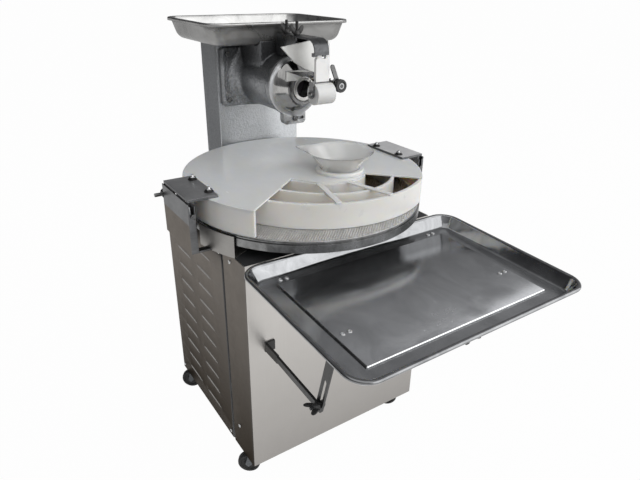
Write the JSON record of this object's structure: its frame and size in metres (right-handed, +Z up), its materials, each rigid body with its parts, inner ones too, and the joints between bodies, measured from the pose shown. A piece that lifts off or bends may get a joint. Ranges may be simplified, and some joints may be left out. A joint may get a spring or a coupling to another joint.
{
  "type": "dough divider",
  "caption": "Floor-standing dough divider and rounder: screw extruder with hopper and swinging knife over a turning disc with a spiral lid, delivering to a tilting tray.",
  "frame": {"origin": "middle of the bounding box on the floor under the caster wheels", "axes": "+Z up, -Y towards the tray at the front, +X to the right seen from the tray side"},
  "size_m": [0.72, 1.1078, 1.12],
  "materials": {
    "stainless_brushed": "brushed stainless sheet",
    "stainless_polished": "polished stainless sheet",
    "hammer_grey": "light grey hammertone paint",
    "hammer_dark": "dark grey hammertone paint on cast metal",
    "frame_paint": "grey painted steel tube",
    "bright_metal": "turned and polished",
    "cast_aluminium": "turned aluminium",
    "zinc": "zinc-plated steel",
    "dark_steel": "blackened steel",
    "white_plastic": "satin white polyethylene",
    "clear_white": "glossy white plastic",
    "black_plastic": "black moulded plastic",
    "cast_iron": "grey cast iron",
    "belt_rubber": "black rubber",
    "caster_steel": "black painted steel",
    "caster_rubber": "black rubber"
  },
  "bodies": {
    "body": {"base_frame": "frame_paint", "front_panel": "stainless_brushed", "left_panel": "stainless_brushed", "right_panel": "stainless_brushed", "rear_panel": "stainless_brushed", "panel_screws": "stainless_brushed", "column": "hammer_grey", "column_cover": "hammer_grey", "cable_gland": "black_plastic", "barrel": "hammer_dark", "extruder_bolts": "zinc", "hopper_pan": "stainless_polished", "nose_cone": "bright_metal", "nozzle": "bright_metal", "cutter_bracket": "dark_steel", "wing_studs": "bright_metal", "bearing_housing": "cast_iron", "disc_gearmotor": "cast_iron", "auger_gearmotor": "cast_iron", "drive_belt": "belt_rubber", "control_box": "hammer_grey", "clamp_stands": "zinc", "disc_guards": "zinc", "tray_brackets": "zinc", "tray_arms": "dark_steel", "wing_bolts": "zinc"},
    "disc": {"turntable": "cast_aluminium", "friction_plate": "cast_aluminium", "spindle": "zinc"},
    "auger": {"auger": "zinc", "auger_pulley": "cast_iron"},
    "motor_pulley": {"motor_pulley": "cast_iron"},
    "knife": {"knife": "bright_metal"},
    "gauge": {"gauge_plate": "white_plastic", "roller_fork": "dark_steel"},
    "gauge_roller": {"gauge_roller": "white_plastic"},
    "gauge_wheel": {"gauge_wheel": "black_plastic"},
    "lid": {"lid": "white_plastic", "spiral_wall": "white_plastic", "tie_slats": "white_plastic", "funnel_collar": "white_plastic", "clamp_plates": "zinc", "lid_bolts": "zinc"},
    "funnel": {"funnel": "clear_white"},
    "clamp_knob_left": {"clamp_knob_left": "zinc"},
    "clamp_knob_right": {"clamp_knob_right": "zinc"},
    "tray": {"tray_pan": "stainless_polished", "tray_plate": "stainless_polished", "tray_rails": "zinc", "tray_screws": "stainless_polished"},
    "tray_links": {"tray_links": "dark_steel"},
    "main_switch": {"main_switch": "black_plastic"},
    "caster_fork_left_front": {"caster_fork_left_front": "caster_steel"},
    "caster_wheel_left_front": {"caster_wheel_left_front": "caster_rubber"},
    "caster_fork_left_rear": {"caster_fork_left_rear": "caster_steel"},
    "caster_wheel_left_rear": {"caster_wheel_left_rear": "caster_rubber"},
    "caster_fork_right_front": {"caster_fork_right_front": "caster_steel"},
    "caster_wheel_right_front": {"caster_wheel_right_front": "caster_rubber"},
    "caster_fork_right_rear": {"caster_fork_right_rear": "caster_steel"},
    "caster_wheel_right_rear": {"caster_wheel_right_rear": "caster_rubber"}
  },
  "joints": [
    {"name": "disc_spin", "type": "hinge", "parent": "body", "child": "disc", "pos_m": [0, 0.08495, 0.7], "axis": [0, 0, 1], "continuous": true},
    {"name": "auger_spin", "type": "hinge", "parent": "body", "child": "auger", "pos_m": [0.04, 0.28495, 0.962], "axis": [0, 1, 0], "continuous": true},
    {"name": "motor_pulley_spin", "type": "hinge", "parent": "body", "child": "motor_pulley", "pos_m": [0.04, 0.42495, 0.33], "axis": [0, 1, 0], "continuous": true},
    {"name": "knife_swing", "type": "hinge", "parent": "body", "child": "knife", "pos_m": [0.086, 0.13995, 0.996], "axis": [0, -1, 0], "range_deg": [0, 115]},
    {"name": "gauge_swing", "type": "hinge", "parent": "body", "child": "gauge", "pos_m": [0.04, 0.07645, 1.052], "axis": [-1, 0, 0], "range_deg": [0, 25]},
    {"name": "roller_spin", "type": "hinge", "parent": "gauge", "child": "gauge_roller", "pos_m": [0.048, 0.07645, 0.961], "axis": [1, 0, 0], "continuous": true},
    {"name": "gauge_wheel_spin", "type": "hinge", "parent": "gauge", "child": "gauge_wheel", "pos_m": [0.092, 0.06095, 0.978], "axis": [0, 1, 0], "continuous": true},
    {"name": "lid_lift", "type": "slide", "parent": "body", "child": "lid", "axis": [0, 0, 1], "range_m": [0, 0.04]},
    {"name": "funnel_lift", "type": "slide", "parent": "lid", "child": "funnel", "axis": [0, 0, 1], "range_m": [0, 0.055]},
    {"name": "clamp_knob_left_turn", "type": "hinge", "parent": "lid", "child": "clamp_knob_left", "pos_m": [-0.332, 0.08495, 0.745], "axis": [0, 1, 0], "continuous": true},
    {"name": "clamp_knob_right_turn", "type": "hinge", "parent": "lid", "child": "clamp_knob_right", "pos_m": [0.332, 0.08495, 0.745], "axis": [0, 1, 0], "continuous": true},
    {"name": "tray_tilt", "type": "hinge", "parent": "body", "child": "tray", "pos_m": [0, -0.12289, 0.63235], "axis": [1, 0, 0], "range_deg": [-2, 8]},
    {"name": "link_swing", "type": "hinge", "parent": "tray", "child": "tray_links", "pos_m": [0, -0.37605, 0.599], "axis": [1, 0, 0], "range_deg": [-15, 15]},
    {"name": "main_switch_turn", "type": "hinge", "parent": "body", "child": "main_switch", "pos_m": [0.32, 0.04395, 0.53], "axis": [1, 0, 0], "range_deg": [0, 90]},
    {"name": "caster_swivel_left_front", "type": "hinge", "parent": "body", "child": "caster_fork_left_front", "pos_m": [-0.242, -0.06605, 0.06], "axis": [0, 0, 1], "continuous": true},
    {"name": "caster_roll_left_front", "type": "hinge", "parent": "caster_fork_left_front", "child": "caster_wheel_left_front", "pos_m": [-0.25797, -0.05401, 0.03], "axis": [0.6018, 0.7986, 0], "continuous": true},
    {"name": "caster_swivel_left_rear", "type": "hinge", "parent": "body", "child": "caster_fork_left_rear", "pos_m": [-0.242, 0.34395, 0.06], "axis": [0, 0, 1], "continuous": true},
    {"name": "caster_roll_left_rear", "type": "hinge", "parent": "caster_fork_left_rear", "child": "caster_wheel_left_rear", "pos_m": [-0.25797, 0.35599, 0.03], "axis": [0.6018, 0.7986, 0], "continuous": true},
    {"name": "caster_swivel_right_front", "type": "hinge", "parent": "body", "child": "caster_fork_right_front", "pos_m": [0.242, -0.06605, 0.06], "axis": [0, 0, 1], "continuous": true},
    {"name": "caster_roll_right_front", "type": "hinge", "parent": "caster_fork_right_front", "child": "caster_wheel_right_front", "pos_m": [0.22603, -0.05401, 0.03], "axis": [0.6018, 0.7986, 0], "continuous": true},
    {"name": "caster_swivel_right_rear", "type": "hinge", "parent": "body", "child": "caster_fork_right_rear", "pos_m": [0.242, 0.34395, 0.06], "axis": [0, 0, 1], "continuous": true},
    {"name": "caster_roll_right_rear", "type": "hinge", "parent": "caster_fork_right_rear", "child": "caster_wheel_right_rear", "pos_m": [0.22603, 0.35599, 0.03], "axis": [0.6018, 0.7986, 0], "continuous": true}
  ],
  "couplings": [
    {"joint": "motor_pulley_spin", "follows": "auger_spin", "ratio": 1.5},
    {"joint": "link_swing", "follows": "tray_tilt", "ratio": -0.899}
  ]
}
